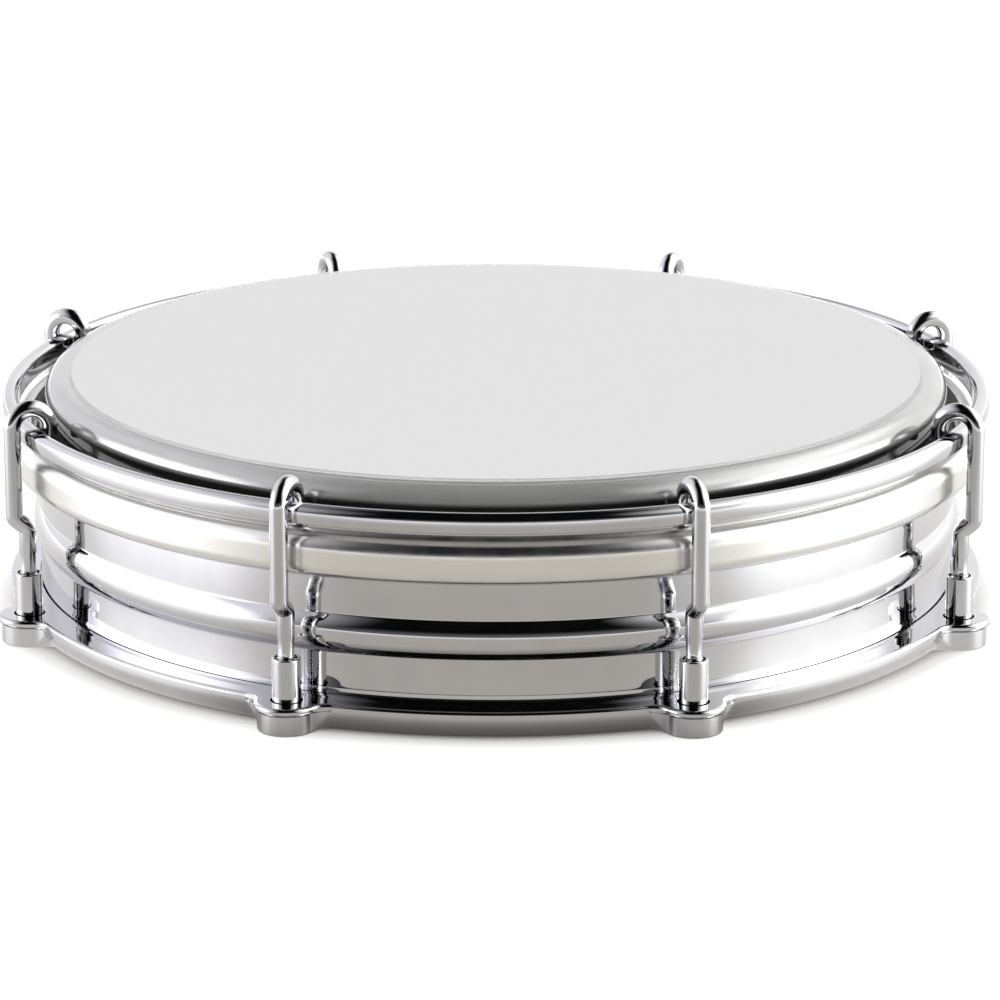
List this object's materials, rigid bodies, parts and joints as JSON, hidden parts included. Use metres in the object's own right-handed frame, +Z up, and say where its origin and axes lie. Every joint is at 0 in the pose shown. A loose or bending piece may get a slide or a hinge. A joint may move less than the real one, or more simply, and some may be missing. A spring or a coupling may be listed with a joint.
{
  "type": "tamborim",
  "caption": "Small chromed frame drum, open below: a white plastic skin on its own hoop is pulled down over a beaded shell by hooks and sleeve nuts on a ring under it.",
  "frame": {"origin": "middle of the plane that the bottom ring stands on", "axes": "+Z up along the drum's axis, towards the skin; +Y away from the picture's camera"},
  "size_m": [0.1638, 0.1638, 0.0402],
  "materials": {
    "shell_chrome": "chrome-plated rolled steel, mirror polished",
    "ring_chrome": "chrome-plated steel, mirror polished",
    "skin_film": "polyester film, white coating on the playing disc, clear collar",
    "hoop_aluminium": "bright rolled aluminium",
    "hoop_chrome": "chrome-plated flat steel",
    "hook_chrome": "chrome-plated bent steel rod, thread rolled on its lower end",
    "nut_chrome": "chrome-plated turned steel"
  },
  "bodies": {
    "shell": {"shell": "shell_chrome", "bottom_ring": "ring_chrome", "head_film": "skin_film"},
    "tension_hoop": {"flesh_hoop": "hoop_aluminium", "counter_hoop": "hoop_chrome", "hook_1": "hook_chrome", "hook_2": "hook_chrome", "hook_3": "hook_chrome", "hook_4": "hook_chrome", "hook_5": "hook_chrome", "hook_6": "hook_chrome", "hook_7": "hook_chrome", "hook_8": "hook_chrome"},
    "nut_1": {"tuning_nut_1": "nut_chrome"},
    "nut_2": {"tuning_nut_2": "nut_chrome"},
    "nut_3": {"tuning_nut_3": "nut_chrome"},
    "nut_4": {"tuning_nut_4": "nut_chrome"},
    "nut_5": {"tuning_nut_5": "nut_chrome"},
    "nut_6": {"tuning_nut_6": "nut_chrome"},
    "nut_7": {"tuning_nut_7": "nut_chrome"},
    "nut_8": {"tuning_nut_8": "nut_chrome"}
  },
  "joints": [
    {"name": "hoop_slide", "type": "slide", "parent": "shell", "child": "tension_hoop", "axis": [0, 0, 1], "range_m": [-0.0015, 0.003]},
    {"name": "nut_1_turn", "type": "hinge", "parent": "shell", "child": "nut_1", "pos_m": [0.07534, 0.03121, 0], "axis": [0, 0, 1], "range_deg": [-2165, 1085]},
    {"name": "nut_2_turn", "type": "hinge", "parent": "shell", "child": "nut_2", "pos_m": [0.03121, 0.07534, 0], "axis": [0, 0, 1], "range_deg": [-2165, 1085]},
    {"name": "nut_3_turn", "type": "hinge", "parent": "shell", "child": "nut_3", "pos_m": [-0.03121, 0.07534, 0], "axis": [0, 0, 1], "range_deg": [-2165, 1085]},
    {"name": "nut_4_turn", "type": "hinge", "parent": "shell", "child": "nut_4", "pos_m": [-0.07534, 0.03121, 0], "axis": [0, 0, 1], "range_deg": [-2165, 1085]},
    {"name": "nut_5_turn", "type": "hinge", "parent": "shell", "child": "nut_5", "pos_m": [-0.07534, -0.03121, 0], "axis": [0, 0, 1], "range_deg": [-2165, 1085]},
    {"name": "nut_6_turn", "type": "hinge", "parent": "shell", "child": "nut_6", "pos_m": [-0.03121, -0.07534, 0], "axis": [0, 0, 1], "range_deg": [-2165, 1085]},
    {"name": "nut_7_turn", "type": "hinge", "parent": "shell", "child": "nut_7", "pos_m": [0.03121, -0.07534, 0], "axis": [0, 0, 1], "range_deg": [-2165, 1085]},
    {"name": "nut_8_turn", "type": "hinge", "parent": "shell", "child": "nut_8", "pos_m": [0.07534, -0.03121, 0], "axis": [0, 0, 1], "range_deg": [-2165, 1085]}
  ],
  "couplings": [
    {"joint": "nut_1_turn", "follows": "hoop_slide", "rad_per_m": -12566},
    {"joint": "nut_2_turn", "follows": "hoop_slide", "rad_per_m": -12566},
    {"joint": "nut_3_turn", "follows": "hoop_slide", "rad_per_m": -12566},
    {"joint": "nut_4_turn", "follows": "hoop_slide", "rad_per_m": -12566},
    {"joint": "nut_5_turn", "follows": "hoop_slide", "rad_per_m": -12566},
    {"joint": "nut_6_turn", "follows": "hoop_slide", "rad_per_m": -12566},
    {"joint": "nut_7_turn", "follows": "hoop_slide", "rad_per_m": -12566},
    {"joint": "nut_8_turn", "follows": "hoop_slide", "rad_per_m": -12566}
  ]
}
